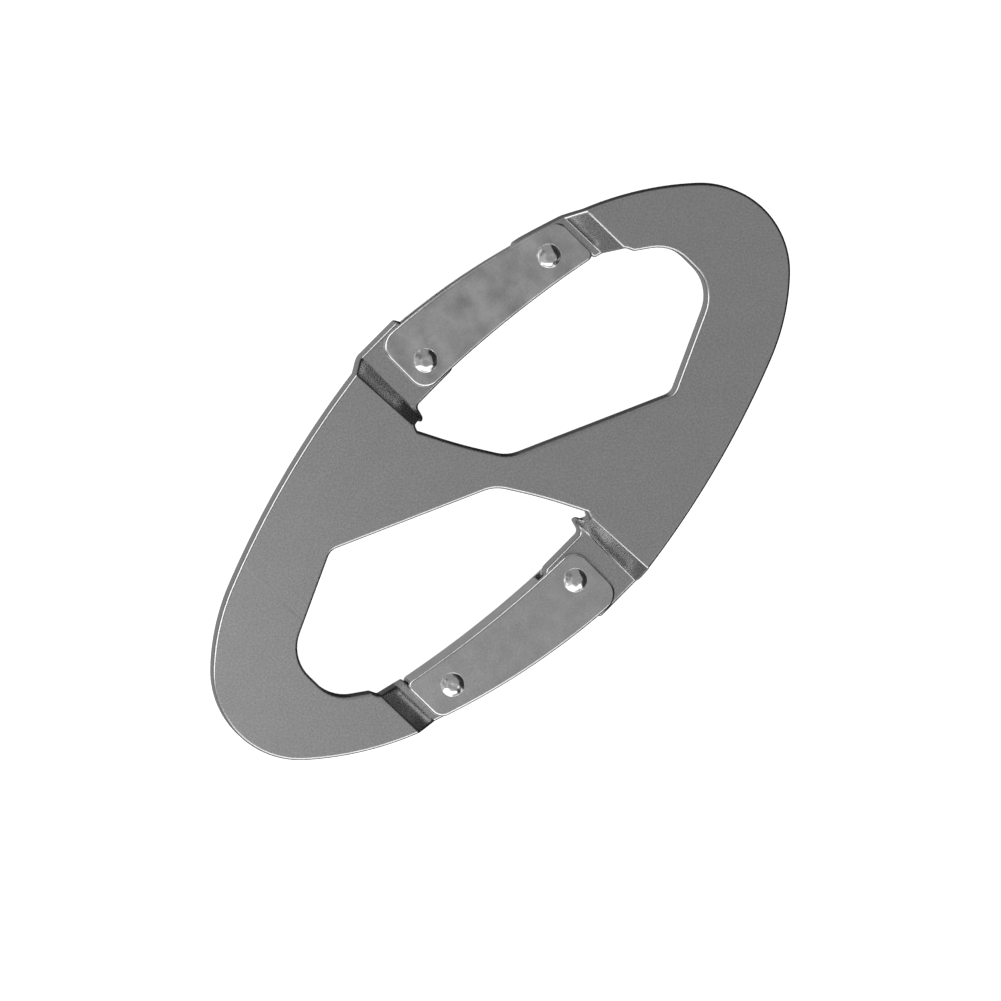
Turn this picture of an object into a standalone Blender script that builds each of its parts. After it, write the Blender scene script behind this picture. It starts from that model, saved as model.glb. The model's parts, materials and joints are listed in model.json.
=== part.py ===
"""Double-gate plate carabiner: one stamped stainless plate with two eyes and two sprung gates.

The plate lies flat, its long axis along X and its front face up. Half a turn about the vertical
axis through its middle maps it onto itself, so each gate part is drawn once, for the right eye,
and placed twice. Lengths are in millimetres until MM turns them into metres.
"""
from math import asin, atan2, ceil, cos, pi, radians, sin

import bmesh
import bpy
from mathutils import Matrix, Vector

MM = 0.001

# Driving dimensions: the plate
HALF_LENGTH = 40.0
SHEET = 2.5
TIP_RADIUS = 9.7
TIP_OFFSET = 0.29            # each eye's tip sits this far away from its gate's side
GATE_SIDE = (47.1, 35.8, 71.0, 127.5)     # tip turn, shoulder radius, shoulder turn, side radius
PLAIN_SIDE = (46.0, 24.3, 67.9, 103.1)

# Driving dimensions: the joggled tabs that the gates clasp
JOG_DEPTH = 2.05
JOG_LIMITS = (9.85, 6.0)     # the tabs lie beyond these heights, at the pivot and at the nose
JOG_BLEND = (0.12, 0.07)     # share of the bend rounded at its top and at its foot
JOG_STATIONS = (0.0, 0.04, 0.08, 0.12, 0.93, 0.965, 1.0)     # where the bend is scored
SCORE_SPAN = (9.0, 16.0)     # heights that each score line is drawn through
PIVOT_BEND = ((-3.42, 10.3), (-4.0, 19.0))      # where the plate starts to drop
PIVOT_FLAT = ((-1.85, 10.3), (-1.98, 19.0))     # where the tab is flat again
NOSE_BEND = ((26.4, 7.7), (26.25, 14.0))
NOSE_FLAT = ((24.15, 8.4), (23.95, 14.3))

# Driving dimensions: gates, rivets and closing springs
PIVOT = Vector((2.56, 14.4))
LATCH = Vector((19.9, 12.85))
GATE_SHEET = 0.5
GATE_GAP = 0.12              # between a tab's faces and the gate's two walls
GATE_OUTER_EDGE = ((0.1, 19.35), (11.7, 17.9), (23.2, 14.7))
GATE_INNER_EDGE = ((0.1, 11.8), (11.8, 11.05), (23.55, 9.15))
BACK_WALL_INSET = 0.4        # the gate's back wall stops short of its outer edge
FOLD = (5.3, 22.9)           # the web joins front and back wall between these stations
LUG = (17.0, 17.5)           # here a lug stands up from the web as a seat for the spring
LUG_TOP = 13.3
SHANK_RADIUS = 0.9
HEAD_RADIUS = 1.33
HEAD_RISE = 0.55
SEAT_GAP = 0.1               # under each rivet head and round each shank
SLOT_RADIUS = 1.15
LATCH_TAB_START = 17.8
OPEN_ANGLE = radians(44.0)
PLUNGER_LIFT = 0.5           # travel in millimetres for each radian the gate opens
PLUNGER_ARM = 0.9            # the spring pushes this far inward of the pivot
PLUNGER_TIP = 2.95           # from the pivot to the plunger's tip, along the spring
CAM_GAP = 0.2
PLUNGER_NOSE = 0.45
PLUNGER_COLLAR = (3.4, 4.0)
PLUNGER_END = 7.6
COLLAR_RADIUS = 0.8
STEM_RADIUS = 0.35
COIL_SPAN = (4.1, 14.4)
COIL_RADIUS = 0.68
COIL_TURNS = 11
WIRE_RADIUS = 0.15

# Heights above the back rivet heads, which the carabiner rests on
BACK_WALL_Z = HEAD_RISE + SEAT_GAP
TAB_Z = BACK_WALL_Z + GATE_SHEET + GATE_GAP
PLATE_Z = TAB_Z + JOG_DEPTH
FRONT_WALL_Z = TAB_Z + SHEET + GATE_GAP
GATE_TOP_Z = FRONT_WALL_Z + GATE_SHEET
GATE_MIDDLE_Z = (BACK_WALL_Z + GATE_TOP_Z) / 2

CHORD = 0.6                  # longest straight step along a round stretch
TURN_STEP = radians(9.0)
RIVET_STEPS = 24
PLUNGER_STEPS = 16
COIL_STEPS = 10


# ---------------------------------------------------------------- outlines

def arc(centre, radius, start, end):
    """Points along an arc, both ends included."""
    span = end - start
    steps = max(ceil(abs(span) * radius / CHORD), ceil(abs(span) / TURN_STEP))
    return [Vector((centre[0] + radius * cos(start + span * i / steps),
                    centre[1] + radius * sin(start + span * i / steps)))
            for i in range(steps + 1)]


def circle(centre, radius):
    return arc(centre, radius, 0.0, 2 * pi)[:-1]


def rounded(corners):
    """A closed outline from (point, radius) corners; a radius of zero keeps the corner."""
    outline = []
    for i, (corner, radius) in enumerate(corners):
        if radius == 0.0:
            outline.append(corner)
            continue
        before = (corners[i - 1][0] - corner).normalized()
        after = (corners[(i + 1) % len(corners)][0] - corner).normalized()
        half = before.angle(after) / 2
        centre = corner + (before + after).normalized() * (radius / sin(half))
        setback = radius * cos(half) / sin(half)
        start = corner + before * setback - centre
        end = corner + after * setback - centre
        outline += arc(centre, radius, atan2(start.y, start.x),
                       atan2(start.y, start.x) - start.angle_signed(end))
    return outline


def plain(points):
    """Corners that keep their points as drawn."""
    return [(Vector(point), 0.0) for point in points]


def quarter(side, tip_y, x_end):
    """The outer edge of one quarter in three tangent arcs, from the tip back to x_end."""
    tip_turn, shoulder, shoulder_turn, long_side = side
    tip_turn, shoulder_turn = radians(tip_turn), radians(shoulder_turn)
    tip_centre = Vector((HALF_LENGTH - TIP_RADIUS, tip_y))
    shoulder_centre = tip_centre + (TIP_RADIUS - shoulder) * Vector((cos(tip_turn), sin(tip_turn)))
    side_centre = shoulder_centre + (shoulder - long_side) * Vector((cos(shoulder_turn), sin(shoulder_turn)))
    side_end = pi / 2 - asin((x_end - side_centre.x) / long_side)
    return (arc(tip_centre, TIP_RADIUS, 0.0, tip_turn)
            + arc(shoulder_centre, shoulder, tip_turn, shoulder_turn)[1:]
            + arc(side_centre, long_side, shoulder_turn, side_end)[1:])


def bow(edge, x_start, x_end, offset=0.0):
    """The arc through an edge's three points, between two stations, moved outward by offset."""
    a, b, c = (Vector(point) for point in edge)
    scale = 2 * (b - a).cross(c - a)
    ab, ac = (b - a).length_squared, (c - a).length_squared
    to_centre = Vector((ab * (c - a).y - ac * (b - a).y, ac * (b - a).x - ab * (c - a).x)) / scale
    centre = a + to_centre
    stations = [pi / 2 - asin((x - centre.x) / to_centre.length) for x in (x_start, x_end)]
    return arc(centre, to_centre.length + offset, *stations)


def spring_axes():
    """Along the spring of the closed right gate, and across it towards the outer edge."""
    along = (LATCH - PIVOT).normalized()
    return along, Vector((-along.y, along.x))


def cam():
    """The pivot tab's end, which pushes the plunger back as the gate opens."""
    along, across = spring_axes()
    steps = 6
    points = []
    for i in range(steps, -1, -1):
        angle = OPEN_ANGLE * i / steps
        reach = PLUNGER_TIP - CAM_GAP + PLUNGER_LIFT * angle
        touch = along * reach - across * PLUNGER_ARM
        points.append(PIVOT + Matrix.Rotation(-angle, 2) @ touch)
    return points


def plate_outline():
    """The plate's edge: the corners of one half, then the same turned half a turn."""
    half = plain(Vector((p.x, -p.y)) for p in reversed(quarter(PLAIN_SIDE, TIP_OFFSET, 4.07)))
    half += plain(quarter(GATE_SIDE, -TIP_OFFSET, 19.2)[1:])
    # latch tab: its end, and the slot that takes the latch rivet
    half += [(Vector((LATCH_TAB_START, 16.35)), 0.5), (Vector((LATCH_TAB_START, 11.1)), 0.4)]
    half += [(Vector((18.65, 11.1)), 0.4)]
    half += plain(arc(LATCH, SLOT_RADIUS, pi, 0.0))
    half += [(Vector((21.0, 10.35)), 0.4), (Vector((23.2, 9.93)), 0.3)]
    half += [(Vector((23.3, 8.97)), 0.3), (Vector((24.25, 8.7)), 1.0)]
    # small shoulder beside the bend, then the eye
    half += [(Vector((26.3, 7.7)), 0.45), (Vector((26.7, 6.85)), 0.45)]
    half += [(Vector((30.1, 4.4)), 4.5), (Vector((30.2, -2.2)), 4.4), (Vector((19.05, -7.4)), 1.5)]
    half += [(Vector((1.75, 0.5)), 4.0), (Vector((-1.12, 5.13)), 60.0)]
    # relief notch and ear beside the pivot tab
    half += [(Vector((-3.45, 9.75)), 0.15), (Vector((-3.2, 10.45)), 0.25), (Vector((-2.57, 10.35)), 0.25)]
    half += [(Vector((-2.09, 9.1)), 0.36), (Vector((-1.5, 11.4)), 0.6), (Vector((3.63, 11.4)), 0.35)]
    half += plain(cam())
    half += [(Vector((4.95, 16.6)), 0.8), (Vector((3.3, 19.5)), 0.4), (Vector((-2.6, 19.5)), 1.5)]
    return rounded(half + [(-point, radius) for point, radius in half])


def gate_outline():
    corners = [(Vector((-0.05, 11.8)), 2.0)] + plain(bow(GATE_INNER_EDGE, 2.4, 22.3))
    corners += [(Vector((23.6, 9.13)), 0.8), (Vector((23.5, 14.6)), 1.5)]
    corners += plain(bow(GATE_OUTER_EDGE, 21.8, 2.4)) + [(Vector((-0.05, 19.38)), 2.0)]
    return rounded(corners)


# ---------------------------------------------------------------- meshes

def extruded(name, loops, low, high):
    """A flat outline with holes, raised between two heights."""
    curve = bpy.data.curves.new(name, "CURVE")
    curve.dimensions = "2D"
    curve.fill_mode = "BOTH"
    curve.extrude = (high - low) / 2 * MM
    for loop in loops:
        spline = curve.splines.new("POLY")
        spline.points.add(len(loop) - 1)
        for spline_point, point in zip(spline.points, loop):
            spline_point.co = (point[0] * MM, point[1] * MM, 0.0, 1.0)
        spline.use_cyclic_u = True
    holder = bpy.data.objects.new(name, curve)
    holder.location.z = (low + high) / 2 * MM
    return baked(holder)


def turned(name, profile, steps):
    """Revolve a profile of (radius, height) points about Z."""
    mesh = bpy.data.meshes.new(name)
    points = [(radius * MM, 0.0, height * MM) for radius, height in profile]
    mesh.from_pydata(points, [(i, i + 1) for i in range(len(points) - 1)], [])
    holder = bpy.data.objects.new(name, mesh)
    screw = holder.modifiers.new("turn", "SCREW")
    screw.steps = screw.render_steps = steps
    screw.use_merge_vertices = True
    screw.merge_threshold = 0.000001
    return baked(holder)


def baked(holder):
    """The finished mesh of an object: welded, closed and facing out."""
    bpy.context.scene.collection.objects.link(holder)
    bpy.context.view_layer.update()
    mesh = bpy.data.meshes.new_from_object(holder.evaluated_get(bpy.context.evaluated_depsgraph_get()))
    mesh.transform(holder.matrix_world)
    bpy.data.objects.remove(holder)
    shape = bmesh.new()
    shape.from_mesh(mesh)
    bmesh.ops.remove_doubles(shape, verts=shape.verts, dist=0.0000001)
    bmesh.ops.recalc_face_normals(shape, faces=shape.faces)
    shape.to_mesh(mesh)
    shape.free()
    return mesh


def jog_profile(s):
    """Drop across a bend, from 0 to 1: a straight ramp blended into both flats."""
    top, foot = JOG_BLEND
    slope = 1 / (1 - (top + foot) / 2)
    s = min(max(s, 0.0), 1.0)
    if s < top:
        return slope * s ** 2 / (2 * top)
    if s > 1 - foot:
        return 1 - slope * (1 - s) ** 2 / (2 * foot)
    return slope * (s - top / 2)


def line_x(line, y):
    (x0, y0), (x1, y1) = line
    return x0 + (x1 - x0) * (y - y0) / (y1 - y0)


def jog_drop(x, y):
    """How far a point of the right eye's tabs is pressed down."""
    if y > JOG_LIMITS[0] and x < LATCH_TAB_START:
        bend, flat = PIVOT_BEND, PIVOT_FLAT
    elif y > JOG_LIMITS[1] and x >= LATCH_TAB_START:
        bend, flat = NOSE_BEND, NOSE_FLAT
    else:
        return 0.0
    start = line_x(bend, y)
    return JOG_DEPTH * jog_profile((x - start) / (line_x(flat, y) - start))


def press_tabs(mesh):
    """Score the plate across every bend, then press its four tabs down."""
    shape = bmesh.new()
    shape.from_mesh(mesh)
    bmesh.ops.dissolve_limit(shape, angle_limit=radians(0.5), verts=shape.verts, edges=shape.edges)
    for bend, flat in ((PIVOT_BEND, PIVOT_FLAT), (NOSE_BEND, NOSE_FLAT)):
        for s in JOG_STATIONS:
            foot, head = (Vector((line_x(bend, y) + s * (line_x(flat, y) - line_x(bend, y)), y, 0.0))
                          for y in SCORE_SPAN)
            across = (head - foot).cross(Vector((0.0, 0.0, 1.0)))
            for turn in (1, -1):
                everything = shape.verts[:] + shape.edges[:] + shape.faces[:]
                bmesh.ops.bisect_plane(shape, geom=everything, dist=0.0000001,
                                       plane_co=foot * turn * MM, plane_no=across)
    for vertex in shape.verts:
        x, y = vertex.co.x / MM, vertex.co.y / MM
        vertex.co.z -= (jog_drop(x, y) + jog_drop(-x, -y)) * MM
    bmesh.ops.triangulate(shape, faces=shape.faces)
    shape.to_mesh(mesh)
    shape.free()


def add_part(name, mesh, material):
    part = bpy.data.objects.new(name, mesh)
    parts.objects.link(part)
    mesh.materials.clear()
    mesh.materials.append(material)
    mesh.shade_smooth()
    mesh.set_sharp_from_angle(angle=radians(32.0))
    return part


def add_pair(name, mesh, material, place):
    """One copy at each gate, held by its hinge; place is measured from the hinge axis."""
    for side, hinge in hinges.items():
        part = add_part(f"{name}_{side}", mesh, material)
        part.parent = hinge
        part.matrix_local = place


def add_cutter(name, mesh):
    cutter = bpy.data.objects.new(name, mesh)
    cutter.hide_render = True
    cutter.display_type = "WIRE"
    cutters.objects.link(cutter)
    return cutter


# ---------------------------------------------------------------- sub-parts

def build_plate():
    bores = [circle(centre, SHANK_RADIUS + SEAT_GAP) for centre in (PIVOT, -PIVOT)]
    mesh = extruded("frame_plate", [plate_outline()] + bores, PLATE_Z, PLATE_Z + SHEET)
    press_tabs(mesh)
    add_part("frame_plate", mesh, plate_steel)


def build_gates():
    """Front wall, web and back wall are one folded sheet, open along its outer edge."""
    bores = [circle(centre, SHANK_RADIUS + SEAT_GAP) for centre in (PIVOT, LATCH)]
    blank = extruded("gate", [gate_outline()] + bores, BACK_WALL_Z, GATE_TOP_Z)
    channel = [(-3.0, 4.0), (FOLD[0], 4.0)] + bow(GATE_INNER_EDGE, FOLD[0], LUG[0], GATE_SHEET)
    channel += [(LUG[0], LUG_TOP), (LUG[1], LUG_TOP)]
    channel += bow(GATE_INNER_EDGE, LUG[1], FOLD[1], GATE_SHEET) + [(FOLD[1], 4.0)]
    channel += [(28.0, 4.0), (28.0, 24.0), (-3.0, 24.0)]
    rim = [(-3.0, 24.0)] + bow(GATE_OUTER_EDGE, 28.0, -3.0, -BACK_WALL_INSET)[::-1] + [(28.0, 24.0)]
    cuts = (("gate_channel", channel, BACK_WALL_Z + GATE_SHEET, FRONT_WALL_Z),
            ("gate_rim", rim, BACK_WALL_Z - 1.0, GATE_MIDDLE_Z))
    gate = bpy.data.objects.new("gate", blank)
    for name, loop, low, high in cuts:
        cut = gate.modifiers.new(name, "BOOLEAN")
        cut.operation = "DIFFERENCE"
        cut.solver = "EXACT"
        cut.object = add_cutter(name, extruded(name, [loop], low, high))
    add_pair("gate", baked(gate), gate_steel, Matrix.Translation(-PIVOT.to_3d() * MM))


def build_rivets():
    """A plain shank with a low domed head at each end."""
    seat = GATE_TOP_Z + SEAT_GAP
    front = [(HEAD_RADIUS * sin(radians(angle)), seat + HEAD_RISE * (0.3 + 0.7 * cos(radians(angle))))
             for angle in range(0, 91, 15)]
    front += [(HEAD_RADIUS, seat), (SHANK_RADIUS, seat)]
    back = [(radius, 2 * GATE_MIDDLE_Z - height) for radius, height in reversed(front)]
    for name, centre in (("pivot_rivet", PIVOT), ("latch_rivet", LATCH)):
        rivet = turned(name, front + back, RIVET_STEPS)
        add_pair(name, rivet, rivet_steel, Matrix.Translation((centre - PIVOT).to_3d() * MM))


def spring_place():
    """From a shape raised along Z to the spring's line, measured from the hinge axis."""
    along, across = spring_axes()
    start = Vector((-across.x * PLUNGER_ARM, -across.y * PLUNGER_ARM, GATE_MIDDLE_Z)) * MM
    return (Matrix.Translation(start) @ Matrix.Rotation(atan2(along.y, along.x), 4, "Z")
            @ Matrix.Rotation(pi / 2, 4, "Y"))


def build_plungers():
    nose = [(PLUNGER_NOSE * sin(radians(angle)), PLUNGER_TIP + PLUNGER_NOSE * (1 - cos(radians(angle))))
            for angle in range(0, 91, 15)]
    collar_start, collar_end = PLUNGER_COLLAR
    body = [(COLLAR_RADIUS, collar_start), (COLLAR_RADIUS, collar_end), (STEM_RADIUS, collar_end),
            (STEM_RADIUS, PLUNGER_END), (0.0, PLUNGER_END)]
    add_pair("plunger", turned("plunger", nose + body, PLUNGER_STEPS), spring_steel, spring_place())


def build_springs():
    start, end = COIL_SPAN
    curve = bpy.data.curves.new("spring", "CURVE")
    curve.dimensions = "3D"
    curve.bevel_depth = WIRE_RADIUS * MM
    curve.bevel_resolution = 2
    curve.use_fill_caps = True
    spline = curve.splines.new("POLY")
    count = COIL_TURNS * COIL_STEPS
    spline.points.add(count)
    for i, spline_point in enumerate(spline.points):
        turn = 2 * pi * i / COIL_STEPS
        height = start + WIRE_RADIUS + (end - start - 2 * WIRE_RADIUS) * i / count
        spline_point.co = (COIL_RADIUS * cos(turn) * MM, COIL_RADIUS * sin(turn) * MM, height * MM, 1.0)
    add_pair("spring", baked(bpy.data.objects.new("spring", curve)), spring_steel, spring_place())


def steel(name, grey, roughness):
    material = bpy.data.materials.new(name)
    material.use_nodes = True
    shader = material.node_tree.nodes["Principled BSDF"]
    shader.inputs["Base Color"].default_value = (grey, grey, grey, 1.0)
    shader.inputs["Metallic"].default_value = 1.0
    shader.inputs["Roughness"].default_value = roughness
    return material


def add_hinges():
    """An empty on each gate's hinge axis; the left one is turned half a turn."""
    found = {}
    for side, centre, turn in (("right", PIVOT, 0.0), ("left", -PIVOT, pi)):
        hinge = bpy.data.objects.new(f"hinge_{side}", None)
        hinge.location = centre.to_3d() * MM
        hinge.rotation_euler.z = turn
        parts.objects.link(hinge)
        found[side] = hinge
    return found


for old in list(bpy.data.objects):
    bpy.data.objects.remove(old)

parts = bpy.data.collections.new("double_gate_plate_carabiner")
cutters = bpy.data.collections.new("cutters")
bpy.context.scene.collection.children.link(parts)
bpy.context.scene.collection.children.link(cutters)

plate_steel = steel("satin_plate_steel", 0.34, 0.38)
gate_steel = steel("satin_gate_steel", 0.36, 0.34)
rivet_steel = steel("polished_rivet_steel", 0.62, 0.18)
spring_steel = steel("spring_steel", 0.40, 0.28)

hinges = add_hinges()
build_plate()
build_gates()
build_rivets()
build_plungers()
build_springs()
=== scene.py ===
"""Looks for the double-gate plate carabiner: tumbled stainless plate, folded gates, peened rivets."""
import json
from math import cos, exp, pi, radians, sin

import bmesh
import bpy
from mathutils import Matrix, Vector, noise


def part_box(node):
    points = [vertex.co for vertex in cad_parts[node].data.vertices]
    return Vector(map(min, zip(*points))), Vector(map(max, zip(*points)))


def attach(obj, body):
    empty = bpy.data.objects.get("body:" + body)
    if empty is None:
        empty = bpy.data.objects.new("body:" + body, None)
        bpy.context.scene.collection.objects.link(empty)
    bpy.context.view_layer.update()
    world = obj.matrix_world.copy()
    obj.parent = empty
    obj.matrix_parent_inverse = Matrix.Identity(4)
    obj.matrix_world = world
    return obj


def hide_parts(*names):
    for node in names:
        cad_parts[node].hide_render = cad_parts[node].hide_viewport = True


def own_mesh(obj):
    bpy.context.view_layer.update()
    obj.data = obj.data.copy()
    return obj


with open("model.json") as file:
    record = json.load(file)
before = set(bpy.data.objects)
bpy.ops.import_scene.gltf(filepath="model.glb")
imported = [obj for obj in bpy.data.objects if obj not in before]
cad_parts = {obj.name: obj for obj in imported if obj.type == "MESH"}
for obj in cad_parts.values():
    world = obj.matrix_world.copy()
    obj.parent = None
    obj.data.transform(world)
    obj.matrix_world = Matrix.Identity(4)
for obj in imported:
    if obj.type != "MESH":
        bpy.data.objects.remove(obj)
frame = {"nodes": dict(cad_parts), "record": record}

MM = 0.001
SIDES = ("right", "left")
nodes = frame["nodes"]
joints = {joint["name"]: joint for joint in frame["record"]["behaviour"]["joints"]}
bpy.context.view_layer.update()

# Tolerances of the mesh work
WELD = 1e-7                      # corners nearer than this are one corner
LEVEL = 1e-6                     # heights nearer than this are the same
FLAT = radians(0.5)              # faces that meet at less than this are one flat

# Edges of the sheet metal
PLATE_EDGE = 0.34 * MM
GATE_ROLL = 0.33 * MM            # round the outside of the gate's front and back
GATE_EDGE = 0.10 * MM            # on the gate's other edges
EDGE_SEGMENTS = 6
EDGE_PROFILE = 0.5               # Blender's number for a quarter circle
SHARP = radians(32.0)            # edges that turn more than this are rounded
FLAT_WEIGHT = 100                # shading follows the larger faces as far as it can
BORE_REACH = 1.3 * MM            # edges nearer than this to a rivet's axis belong to its bore

# Bends of the plate's tabs, for the right eye, where the plate starts to drop and where it is flat again
JOG_DEPTH = 2.05 * MM
JOG_STEPS = (6, 4)               # cuts across the rounding at the top of a bend, and at its foot
JOG_BLEND = (0.12, 0.07)         # share of the bend rounded at its top and at its foot
PIVOT_BEND = ((-3.42 * MM, 10.3 * MM), (-4.0 * MM, 19.0 * MM))
PIVOT_FLAT = ((-1.85 * MM, 10.3 * MM), (-1.98 * MM, 19.0 * MM))
NOSE_BEND = ((26.4 * MM, 7.7 * MM), (26.25 * MM, 14.0 * MM))
NOSE_FLAT = ((24.15 * MM, 8.4 * MM), (23.95 * MM, 14.3 * MM))
TAB_LIMITS = (9.85 * MM, 6.0 * MM)     # the tabs lie beyond these, at the pivot and at the nose
TAB_SPLIT = 17.8 * MM            # the pivot tab is on this side of it, the latch tab on the other

# Rivets: a shank with a peened head at each end
RIVET_STEPS = 72                 # points round the axis
SHANK_RADIUS = 0.9 * MM
HEAD_LIFT = 0.02 * MM            # between a head and the gate it sits on
HEAD_RIM = 0.08                  # share of the head's height that its upright rim takes
HEAD_CONE = 1.45                 # 1 for a cone, 2 for a dome
HEAD_STEP = 5                    # degrees between a head's rings, as if it were a dome
RIM_ROUND = 0.05 * MM            # round the rim's lower edge
RIM_ANGLES = (0, 30, 60, 90)
DIMPLE_RADIUS = 0.5 * MM
DIMPLE_DEPTH = 0.24 * MM
PEEN_SIZE = 0.55 * MM            # hammer marks: how wide, and how deep
PEEN_DEPTH = 0.12 * MM

# Plungers, measured from the tip
PLUNGER_STEPS = 48               # points round the axis
NOSE_RADIUS = 0.45 * MM
NOSE_STEP = 9                    # degrees between the rings of the round nose
COLLAR_RADIUS = 0.8 * MM
COLLAR_END = 1.05 * MM
STEM_RADIUS = 0.35 * MM
BREAK = 0.07 * MM                # broken edges of the collar and the stem

# Closing springs
COIL_RADIUS = 0.68 * MM
WIRE_RADIUS = 0.15 * MM
COIL_TURNS = 11
CLOSED_PITCH = 0.31 * MM         # the first and last turn lie against their neighbours
COIL_STEPS = 36                  # rings in each turn
WIRE_STEPS = 14                  # points round the wire

# Steel: how its noises are laid out, shared by every kind
GRAIN_DETAIL = 2.0
BLOTCH_DETAIL = 4.0
TONE_ENDS = (0.3, 0.7)           # noise levels of the darkest and of the lightest tone
ROUGH_SPREAD = 0.15

# Floor
FLOOR_SIZE = 4.0
FLOOR_WHITE = 0.9
FLOOR_ROUGHNESS = 0.9
FLOOR_GLOW = 0.9

# Camera
IMAGE_SPAN = 107.6 * MM          # what the picture's width covers at the carabiner
CAMERA_DISTANCE = 0.9
CAMERA_LEAN = (-0.052, 0.235)    # off the plate's normal, towards -X and +Y
CAMERA_AIM = (4.32 * MM, -3.2 * MM)    # the picture's middle: its height, and its shift upwards
LONG_AXIS_ANGLE = radians(45.7)  # the long axis as it climbs to the right in the picture
SENSOR = 36.0                    # millimetres, as Blender gives its sensors and lenses

# Studio: its bright side along the picture's right, up and back, and the level of the
# surroundings by the cosine of the angle to that side
BRIGHT_SIDE = (-1.0, -0.3, 0.5)
STUDIO_GRADES = ((-1.0, 0.03), (-0.50, 0.01), (-0.36, 0.06), (-0.26, 0.34), (0.28, 0.28),
                 (0.47, 0.15), (0.70, 0.10), (0.84, 0.44), (1.0, 0.48))


# ---------------------------------------------------------------- meshes

def welded(name):
    """A CAD node's mesh with its doubled corners joined."""
    shape = bmesh.new()
    shape.from_mesh(nodes[name].data)
    bmesh.ops.remove_doubles(shape, verts=shape.verts, dist=WELD)
    return shape


def merge_flats(shape):
    """One face wherever the solid is flat, and one edge wherever it is straight."""
    bmesh.ops.dissolve_limit(shape, angle_limit=FLAT, verts=shape.verts, edges=shape.edges)


def round_edges(shape, width, chosen=None):
    """Round the sharp edges, or only those of them that chosen accepts."""
    edges = [edge for edge in shape.edges
             if edge.calc_face_angle(0.0) > SHARP and (chosen is None or chosen(edge))]
    bmesh.ops.bevel(shape, geom=edges, offset=width, segments=EDGE_SEGMENTS,
                    profile=EDGE_PROFILE, affect="EDGES", clamp_overlap=False)


def line_x(line, y):
    """Where a line through two points crosses height y."""
    (x0, y0), (x1, y1) = line
    return x0 + (x1 - x0) * (y - y0) / (y1 - y0)


def jog_profile(s):
    """Drop across a bend, from 0 to 1: a straight ramp blended into both flats."""
    top, foot = JOG_BLEND
    slope = 1 / (1 - (top + foot) / 2)
    s = min(max(s, 0.0), 1.0)
    if s < top:
        return slope * s ** 2 / (2 * top)
    if s > 1 - foot:
        return 1 - slope * (1 - s) ** 2 / (2 * foot)
    return slope * (s - top / 2)


def jog_drop(x, y):
    """How far a point of the right eye's tabs is pressed down."""
    if y > TAB_LIMITS[0] and x < TAB_SPLIT:
        bend, flat = PIVOT_BEND, PIVOT_FLAT
    elif y > TAB_LIMITS[1] and x >= TAB_SPLIT:
        bend, flat = NOSE_BEND, NOSE_FLAT
    else:
        return 0.0
    start = line_x(bend, y)
    return JOG_DEPTH * jog_profile((x - start) / (line_x(flat, y) - start))


def press(shape, sign):
    """Press the four tabs down, or flatten them again."""
    for vertex in shape.verts:
        x, y = vertex.co.x, vertex.co.y
        vertex.co.z -= sign * (jog_drop(x, y) + jog_drop(-x, -y))


def bend_stations():
    """Where a bend is cut: closely through both its roundings, and not between them."""
    top, foot = ([share * i / steps for i in range(steps + 1)]
                 for share, steps in zip(JOG_BLEND, JOG_STEPS))
    return top + [1 - cut for cut in foot]


def cut_half(shape, point, across, turn):
    """Cut the small faces of one half, and the flats with many corners, along an upright plane."""
    near = [face for face in shape.faces
            if face.calc_center_bounds().y * turn > 0 or len(face.verts) > 4]
    parts = dict.fromkeys(part for face in near for part in (*face.verts, *face.edges, face))
    bmesh.ops.bisect_plane(shape, geom=list(parts), dist=WELD, plane_co=point, plane_no=across)


def score(shape):
    """Cut the flat plate across its bends, finely enough for them to press smoothly."""
    tabs = ((PIVOT_BEND, PIVOT_FLAT, TAB_LIMITS[0]), (NOSE_BEND, NOSE_FLAT, TAB_LIMITS[1]))
    for bend, flat, limit in tabs:
        for s in bend_stations():
            start, end = (Vector((line_x(bend, y) + s * (line_x(flat, y) - line_x(bend, y)), y, 0.0))
                          for y in (limit, 2 * limit))
            across = (end - start).cross(Vector((0.0, 0.0, 1.0)))
            for turn in (1, -1):
                cut_half(shape, start * turn, across, turn)


def tube(rings, closed_ends):
    """Skin over rings of points; a ring of one point is a tip, and closed ends are capped flat."""
    shape = bmesh.new()
    loops = [[shape.verts.new(point) for point in ring] for ring in rings]
    steps = max(len(loop) for loop in loops)
    for one, other in zip(loops, loops[1:]):
        for i in range(steps):
            j = (i + 1) % steps
            corners = (one[i % len(one)], one[j % len(one)], other[j % len(other)], other[i % len(other)])
            shape.faces.new(tuple(dict.fromkeys(corners)))
    if closed_ends:
        shape.faces.new(loops[0])
        shape.faces.new(loops[-1])
    bmesh.ops.recalc_face_normals(shape, faces=shape.faces)
    return shape


def lathe(profile, steps, place):
    """A solid turned from (radius, height) points about place's Z; it starts and ends on the axis."""
    rings = []
    for radius, height in profile:
        turns = [2 * pi * i / steps for i in range(steps)] if radius else [0.0]
        rings.append([place @ Vector((radius * cos(turn), radius * sin(turn), height)) for turn in turns])
    return tube(rings, False)


def add_piece(name, shape, body, material, replaced):
    """A piece that rides on a body and stands for the CAD node that it replaces."""
    mesh = bpy.data.meshes.new(name)
    shape.to_mesh(mesh)
    shape.free()
    mesh.materials.append(material)
    mesh.shade_smooth()
    piece = bpy.data.objects.new(name, mesh)
    bpy.context.scene.collection.objects.link(piece)
    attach(piece, body)
    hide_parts(replaced)
    return piece


def keep_flats_flat(piece):
    """Shade a flat as flat right up to its rounded edges."""
    weighted = piece.modifiers.new("flat_faces", "WEIGHTED_NORMAL")
    weighted.weight = FLAT_WEIGHT


# ---------------------------------------------------------------- pieces

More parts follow.
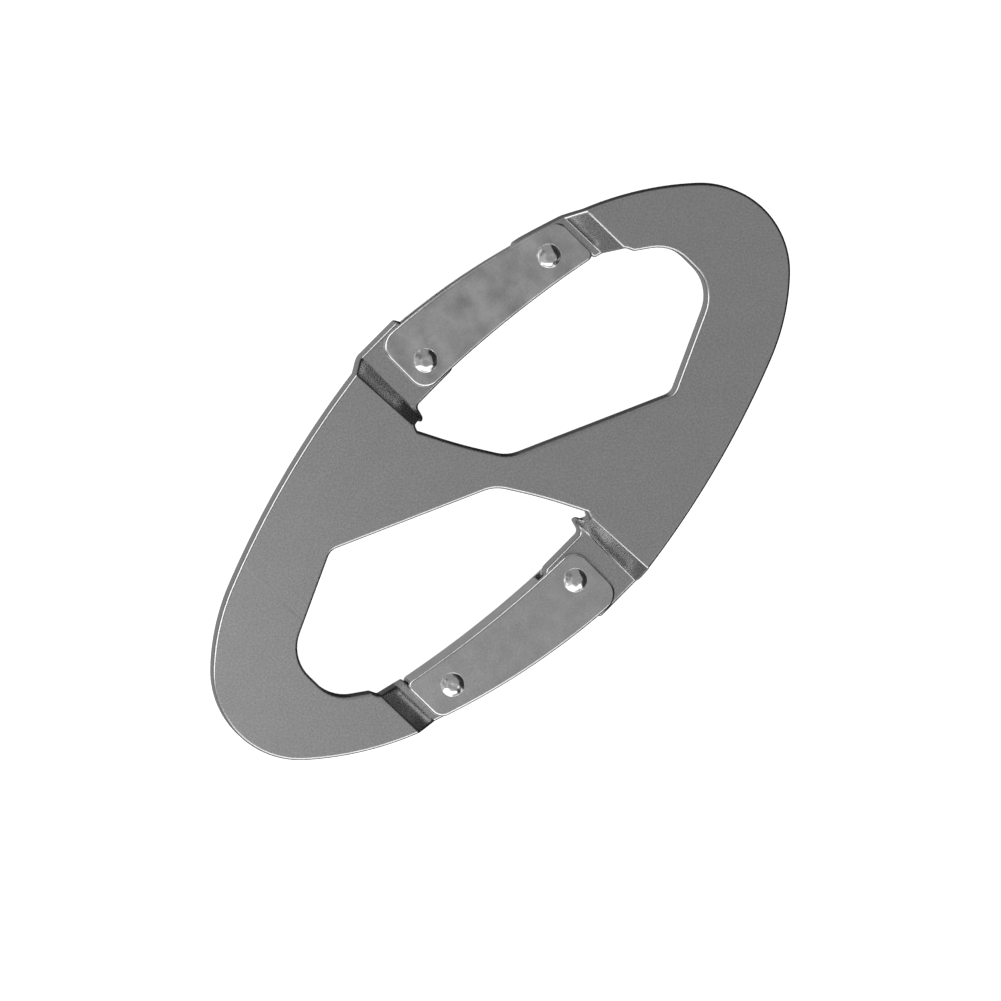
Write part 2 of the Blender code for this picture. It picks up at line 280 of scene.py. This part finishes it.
def build_plate():
    """It is rounded and scored while its tabs are flat, so that the rounding runs through the bends."""
    shape = welded("frame_plate")
    press(shape, -1)
    merge_flats(shape)
    round_edges(shape, PLATE_EDGE)
    score(shape)
    press(shape, 1)
    keep_flats_flat(add_piece("plate", shape, "frame", plate_steel, "frame_plate"))


def build_gate(side):
    """The rims of its front and back are rolled over; its other edges are only broken."""
    shape = welded(f"gate_{side}")
    merge_flats(shape)
    low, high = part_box(f"gate_{side}")
    bores = [sum(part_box(f"{kind}_rivet_{side}"), Vector()).xy / 2 for kind in ("pivot", "latch")]

    def on_rim(edge):
        outside = all(min(vertex.co.z - low.z, high.z - vertex.co.z) < LEVEL for vertex in edge.verts)
        return outside and all((edge.verts[0].co.xy - bore).length > BORE_REACH for bore in bores)

    round_edges(shape, GATE_ROLL, on_rim)
    round_edges(shape, GATE_EDGE)
    keep_flats_flat(add_piece(f"{side}_gate_sheet", shape, f"{side}_gate", gate_steel[side], f"gate_{side}"))


def head_profile(radius, rise):
    """A peened head from its rim to its dimpled middle, as (radius, height over the seat)."""
    profile = [(radius - RIM_ROUND * (1 - sin(radians(angle))), RIM_ROUND * (1 - cos(radians(angle))))
               for angle in RIM_ANGLES]
    for angle in range(90, -1, -HEAD_STEP):
        reach = radius * sin(radians(angle))
        dome = rise * (1 - (1 - HEAD_RIM) * (reach / radius) ** HEAD_CONE)
        profile.append((reach, dome - DIMPLE_DEPTH * exp(-(reach / DIMPLE_RADIUS) ** 2)))
    return profile


def peened(shape, low, high):
    """Hammer marks on both heads, fading out towards the seats."""
    for vertex in shape.verts:
        depth = PEEN_DEPTH * (1 + noise.noise(vertex.co / PEEN_SIZE)) / 2
        if vertex.co.z > high:
            vertex.co.z -= depth * min((vertex.co.z - high) / RIM_ROUND, 1.0)
        elif vertex.co.z < low:
            vertex.co.z += depth * min((low - vertex.co.z) / RIM_ROUND, 1.0)


def build_rivets(side):
    gate_low, gate_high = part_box(f"gate_{side}")
    for kind in ("pivot", "latch"):
        low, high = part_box(f"{kind}_rivet_{side}")
        middle = (low + high) / 2
        front_seat = gate_high.z + HEAD_LIFT - middle.z
        back_seat = gate_low.z - HEAD_LIFT - middle.z
        head = head_profile((high.x - low.x) / 2, high.z - middle.z - front_seat)
        profile = [(radius, back_seat - height) for radius, height in reversed(head)]
        profile += [(SHANK_RADIUS, back_seat), (SHANK_RADIUS, front_seat)]
        profile += [(radius, front_seat + height) for radius, height in head]
        shape = lathe(profile, RIVET_STEPS, Matrix.Translation(middle))
        rim = HEAD_RIM * (high.z - gate_high.z)
        peened(shape, gate_low.z - rim, gate_high.z + rim)
        keep_flats_flat(add_piece(f"{side}_{kind}_rivet", shape, f"{side}_gate", rivet_steel,
                                  f"{kind}_rivet_{side}"))


def sliding_place(name, side):
    """Where a piece on the spring's line starts, with Z along the line, and how long it is."""
    line = Vector(joints[f"{side}_plunger_slide"]["axis"]).normalized()
    points = [vertex.co for vertex in nodes[name].data.vertices]
    heights = [point.dot(line) for point in points]
    middle = sum(points, Vector()) / len(points)
    start = middle + line * (min(heights) - middle.dot(line))
    place = Matrix.Translation(start) @ line.to_track_quat("Z", "Y").to_matrix().to_4x4()
    return place, max(heights) - min(heights)


def build_plunger(side):
    place, length = sliding_place(f"plunger_{side}", side)
    profile = [(NOSE_RADIUS * sin(radians(angle)), NOSE_RADIUS * (1 - cos(radians(angle))))
               for angle in range(0, 91, NOSE_STEP)]
    profile += [(COLLAR_RADIUS - BREAK, NOSE_RADIUS), (COLLAR_RADIUS, NOSE_RADIUS + BREAK),
                (COLLAR_RADIUS, COLLAR_END - BREAK), (COLLAR_RADIUS - BREAK, COLLAR_END),
                (STEM_RADIUS, COLLAR_END), (STEM_RADIUS, length - BREAK),
                (STEM_RADIUS - BREAK, length), (0.0, length)]
    shape = lathe(profile, PLUNGER_STEPS, place)
    keep_flats_flat(add_piece(f"{side}_plunger_pin", shape, f"{side}_plunger", spring_steel,
                              f"plunger_{side}"))


def coil_height(turn, length):
    """Height of the wire's middle: closed end turns, even pitch between them."""
    open_pitch = (length - 2 * WIRE_RADIUS - 2 * CLOSED_PITCH) / (COIL_TURNS - 2)
    open_turns = min(max(turn - 1.0, 0.0), COIL_TURNS - 2)
    return WIRE_RADIUS + open_turns * open_pitch + (turn - open_turns) * CLOSED_PITCH


def build_spring(side):
    place, length = sliding_place(f"spring_{side}", side)
    rings = []
    for i in range(COIL_TURNS * COIL_STEPS + 1):
        angle = 2 * pi * i / COIL_STEPS
        outward = Vector((cos(angle), sin(angle), 0.0))
        middle = outward * COIL_RADIUS + Vector((0.0, 0.0, coil_height(i / COIL_STEPS, length)))
        rings.append([place @ (middle + (outward * cos(turn) + Vector((0.0, 0.0, sin(turn)))) * WIRE_RADIUS)
                      for turn in (2 * pi * k / WIRE_STEPS for k in range(WIRE_STEPS))])
    piece = add_piece(f"{side}_closing_spring", tube(rings, True), f"{side}_gate", spring_steel,
                      f"spring_{side}")
    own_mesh(piece)


# ---------------------------------------------------------------- materials

def noise_node(tree, place, size, detail):
    texture = tree.nodes.new("ShaderNodeTexNoise")
    texture.inputs["Scale"].default_value = 1 / size
    texture.inputs["Detail"].default_value = detail
    tree.links.new(place, texture.inputs["Vector"])
    return texture.outputs["Fac"]


def steel(name, grey, spread, roughness, grain_size, blotch_size, blotch_share, bump_depth):
    """Steel with a fine grain, soft blotches over it, and the grain pressed into the surface."""
    material = bpy.data.materials.new(name)
    material.use_nodes = True
    tree = material.node_tree
    shader = tree.nodes["Principled BSDF"]
    shader.inputs["Metallic"].default_value = 1.0
    place = tree.nodes.new("ShaderNodeTexCoord").outputs["Object"]
    grain = noise_node(tree, place, grain_size, GRAIN_DETAIL)
    blotches = noise_node(tree, place, blotch_size, BLOTCH_DETAIL)

    blend = tree.nodes.new("ShaderNodeMix")
    blend.inputs["Factor"].default_value = blotch_share
    tree.links.new(grain, blend.inputs["A"])
    tree.links.new(blotches, blend.inputs["B"])

    tone = tree.nodes.new("ShaderNodeValToRGB")
    for element, position, share in zip(tone.color_ramp.elements, TONE_ENDS, (1 - spread, 1 + spread)):
        element.position = position
        element.color = (grey * share, grey * share, grey * share, 1.0)
    tree.links.new(blend.outputs["Result"], tone.inputs["Fac"])
    tree.links.new(tone.outputs["Color"], shader.inputs["Base Color"])

    rough = tree.nodes.new("ShaderNodeMapRange")
    rough.inputs["To Min"].default_value = roughness * (1 - ROUGH_SPREAD)
    rough.inputs["To Max"].default_value = roughness * (1 + ROUGH_SPREAD)
    tree.links.new(blend.outputs["Result"], rough.inputs["Value"])
    tree.links.new(rough.outputs["Result"], shader.inputs["Roughness"])

    bump = tree.nodes.new("ShaderNodeBump")
    bump.inputs["Strength"].default_value = 1.0
    bump.inputs["Distance"].default_value = bump_depth
    tree.links.new(grain, bump.inputs["Height"])
    tree.links.new(bump.outputs["Normal"], shader.inputs["Normal"])
    return material


# ---------------------------------------------------------------- stage

def add_floor():
    bpy.ops.mesh.primitive_plane_add(size=FLOOR_SIZE)
    floor = bpy.context.active_object
    floor.name = "floor"
    material = bpy.data.materials.new("floor_white")
    material.use_nodes = True
    shader = material.node_tree.nodes["Principled BSDF"]
    shader.inputs["Base Color"].default_value = (FLOOR_WHITE, FLOOR_WHITE, FLOOR_WHITE, 1.0)
    shader.inputs["Roughness"].default_value = FLOOR_ROUGHNESS
    shader.inputs["Emission Color"].default_value = (1.0, 1.0, 1.0, 1.0)
    shader.inputs["Emission Strength"].default_value = FLOOR_GLOW
    floor.data.materials.append(material)
    floor.visible_glossy = False


def image_axes():
    """The picture's right, its up, and the way back to the camera, in the plate's axes."""
    back = Vector((*CAMERA_LEAN, 1.0)).normalized()
    flat_right = Vector((cos(LONG_AXIS_ANGLE), -sin(LONG_AXIS_ANGLE), 0.0))
    right = (flat_right - back * flat_right.dot(back)).normalized()
    return right, back.cross(right), back


def from_image(amounts):
    """A direction in the plate's axes from amounts along the picture's right, up and back."""
    return sum((axis * amount for axis, amount in zip(image_axes(), amounts)), Vector()).normalized()


def add_camera():
    right, up, back = image_axes()
    height, shift = CAMERA_AIM
    camera = bpy.data.objects.new("camera", bpy.data.cameras.new("camera"))
    camera.data.sensor_width = SENSOR
    camera.data.lens = SENSOR * CAMERA_DISTANCE / IMAGE_SPAN
    middle = Vector((0.0, 0.0, height)) + up * shift
    turn = Matrix((right, up, back)).transposed().to_4x4()
    camera.matrix_world = Matrix.Translation(middle + back * CAMERA_DISTANCE) @ turn
    bpy.context.scene.collection.objects.link(camera)
    bpy.context.scene.camera = camera


def add_softbox(name, towards, distance, size, power):
    """An area light facing the carabiner; towards is given along the picture's right, up and back."""
    direction = from_image(towards)
    light = bpy.data.objects.new(name, bpy.data.lights.new(name, "AREA"))
    light.data.shape = "RECTANGLE"
    light.data.size, light.data.size_y = size
    light.data.energy = power
    light.location = direction * distance
    light.rotation_euler = direction.to_track_quat("Z", "Y").to_euler()
    bpy.context.scene.collection.objects.link(light)


def add_world(bright_side, grades):
    """A studio graded from its dark side to its bright side, as (cosine to the bright side, level)."""
    world = bpy.data.worlds.new("studio")
    world.use_nodes = True
    tree = world.node_tree
    place = tree.nodes.new("ShaderNodeTexCoord").outputs["Generated"]
    side = tree.nodes.new("ShaderNodeVectorMath")
    side.operation = "DOT_PRODUCT"
    side.inputs[1].default_value = from_image(bright_side)
    tree.links.new(place, side.inputs[0])
    share = tree.nodes.new("ShaderNodeMapRange")
    share.inputs["From Min"].default_value = -1.0
    tree.links.new(side.outputs["Value"], share.inputs["Value"])
    ramp = tree.nodes.new("ShaderNodeValToRGB")
    stops = ramp.color_ramp.elements
    while len(stops) < len(grades):
        stops.new(0.5)
    for stop, (cosine, level) in zip(stops, grades):
        stop.position = (1 + cosine) / 2
        stop.color = (level, level, level, 1.0)
    tree.links.new(share.outputs["Result"], ramp.inputs["Fac"])
    tree.links.new(ramp.outputs["Color"], tree.nodes["Background"].inputs["Color"])
    bpy.context.scene.world = world
    bpy.context.scene.view_settings.view_transform = "Standard"


plate_steel = steel("tumbled_plate_steel", grey=0.60, spread=0.16, roughness=0.27, grain_size=0.20 * MM,
                    blotch_size=2.6 * MM, blotch_share=0.12, bump_depth=0.0003 * MM)
gate_steel = {
    # the right gate's strong, wide blotches are a painted reflection of the studio, laid over the steel's
    # own grain
    "right": steel("grain_and_painted_reflection_gate_steel", grey=0.76, spread=0.28, roughness=0.24, grain_size=0.20 * MM,
                   blotch_size=2.4 * MM, blotch_share=0.75, bump_depth=0.0003 * MM),
    "left": steel("tumbled_gate_steel", grey=0.76, spread=0.14, roughness=0.24, grain_size=0.20 * MM,
                  blotch_size=1.8 * MM, blotch_share=0.5, bump_depth=0.0003 * MM),
}
rivet_steel = steel("peened_rivet_steel", grey=0.84, spread=0.06, roughness=0.24, grain_size=0.12 * MM,
                    blotch_size=0.7 * MM, blotch_share=0.5, bump_depth=0.002 * MM)
spring_steel = steel("drawn_spring_steel", grey=0.65, spread=0.08, roughness=0.22, grain_size=0.08 * MM,
                     blotch_size=0.6 * MM, blotch_share=0.5, bump_depth=0.001 * MM)

build_plate()
for side in SIDES:
    build_gate(side)
    build_rivets(side)
    build_plunger(side)
    build_spring(side)
add_floor()
add_camera()
add_world(BRIGHT_SIDE, STUDIO_GRADES)
add_softbox("overhead", towards=(-0.05, -0.34, 1.0), distance=0.26, size=(0.14, 0.14), power=0.0196)
add_softbox("left", towards=(-1.0, 0.34, 0.62), distance=0.5, size=(0.7, 0.34), power=1.3)
add_softbox("below", towards=(0.17, -1.0, 0.62), distance=0.5, size=(0.7, 0.34), power=1.1)
